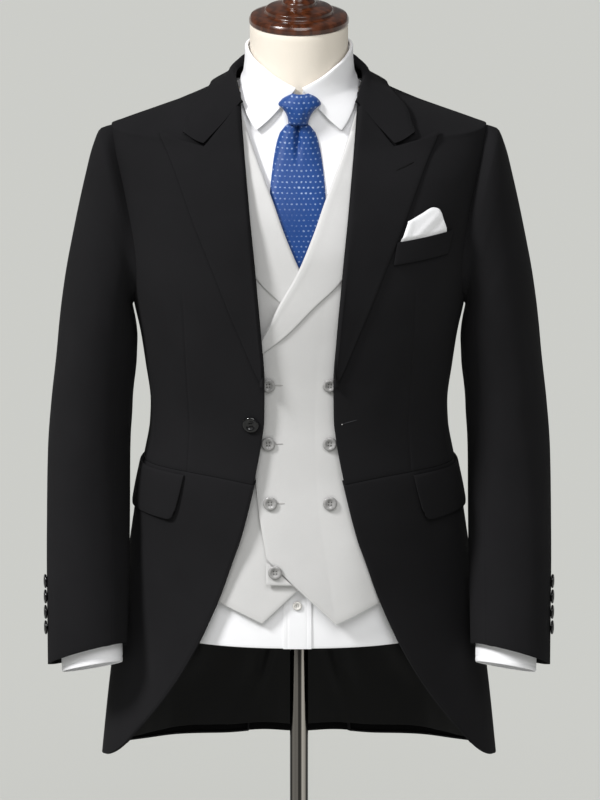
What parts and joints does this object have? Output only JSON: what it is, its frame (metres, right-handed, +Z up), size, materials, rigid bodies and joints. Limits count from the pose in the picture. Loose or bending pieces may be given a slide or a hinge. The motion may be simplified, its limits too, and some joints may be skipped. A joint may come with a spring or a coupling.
{
  "type": "morning suit on dress form",
  "caption": "Black morning coat worn with a light grey double-breasted waistcoat, white shirt, dotted blue tie and white pocket square, on a limbless dress form with a pole stand.",
  "frame": {"origin": "middle of the underside of the stand's foot, on the floor", "axes": "+Z up, the front of the suit faces -Y, the wearer's left is +X"},
  "size_m": [0.6138, 0.4, 1.651],
  "materials": {
    "coat_wool": "matt woven wool, black",
    "lining_satin": "soft sheen satin, black",
    "waistcoat_wool": "matt woven wool, light grey",
    "shirt_cotton": "plain white cotton",
    "tie_silk": "silk, blue with small staggered light dots",
    "form_jersey": "cream jersey over padding",
    "turned_wood": "dark red-brown, high gloss lacquer",
    "polished_steel": "polished",
    "horn_black": "satin, four holes",
    "horn_grey": "satin, four holes",
    "pearl": "pearly, four holes"
  },
  "bodies": {
    "root": {"coat_forepart_left": "coat_wool", "coat_forepart_right": "coat_wool", "coat_sidebody_left": "coat_wool", "coat_sidebody_right": "coat_wool", "coat_back_left": "coat_wool", "coat_back_right": "coat_wool", "coat_skirt_left": "coat_wool", "coat_skirt_right": "coat_wool", "tail_lining_left": "lining_satin", "tail_lining_right": "lining_satin", "coat_lapel_left": "coat_wool", "coat_lapel_right": "coat_wool", "coat_collar": "coat_wool", "coat_flap_left": "coat_wool", "coat_flap_right": "coat_wool", "coat_welt": "coat_wool", "pocket_square": "shirt_cotton", "coat_topsleeve_left": "coat_wool", "coat_topsleeve_right": "coat_wool", "coat_undersleeve_left": "coat_wool", "coat_undersleeve_right": "coat_wool", "coat_front_button": "horn_black", "cuff_button_1_left": "horn_black", "cuff_button_1_right": "horn_black", "cuff_button_2_left": "horn_black", "cuff_button_2_right": "horn_black", "cuff_button_3_left": "horn_black", "cuff_button_3_right": "horn_black", "cuff_button_4_left": "horn_black", "cuff_button_4_right": "horn_black", "waistcoat_front_left": "waistcoat_wool", "waistcoat_front_right": "waistcoat_wool", "waistcoat_lapel_left": "waistcoat_wool", "waistcoat_lapel_right": "waistcoat_wool", "waistcoat_corner": "waistcoat_wool", "waistcoat_back": "waistcoat_wool", "waistcoat_button_1": "horn_grey", "waistcoat_button_2": "horn_grey", "waistcoat_button_3": "horn_grey", "waistcoat_button_4": "horn_grey", "waistcoat_button_5": "horn_grey", "waistcoat_button_6": "horn_grey", "waistcoat_button_7": "horn_grey", "shirt_front_left": "shirt_cotton", "shirt_front_right": "shirt_cotton", "shirt_back": "shirt_cotton", "shirt_placket": "shirt_cotton", "shirt_button": "pearl", "shirt_collar_stand": "shirt_cotton", "shirt_collar_leaf": "shirt_cotton", "shirt_sleeve_left": "shirt_cotton", "shirt_sleeve_right": "shirt_cotton", "shirt_cuff_left": "shirt_cotton", "shirt_cuff_right": "shirt_cotton", "tie_blade": "tie_silk", "tie_knot": "tie_silk", "form_body": "form_jersey", "form_cap": "turned_wood", "stand_pole": "polished_steel", "stand_foot": "polished_steel"}
  },
  "joints": []
}
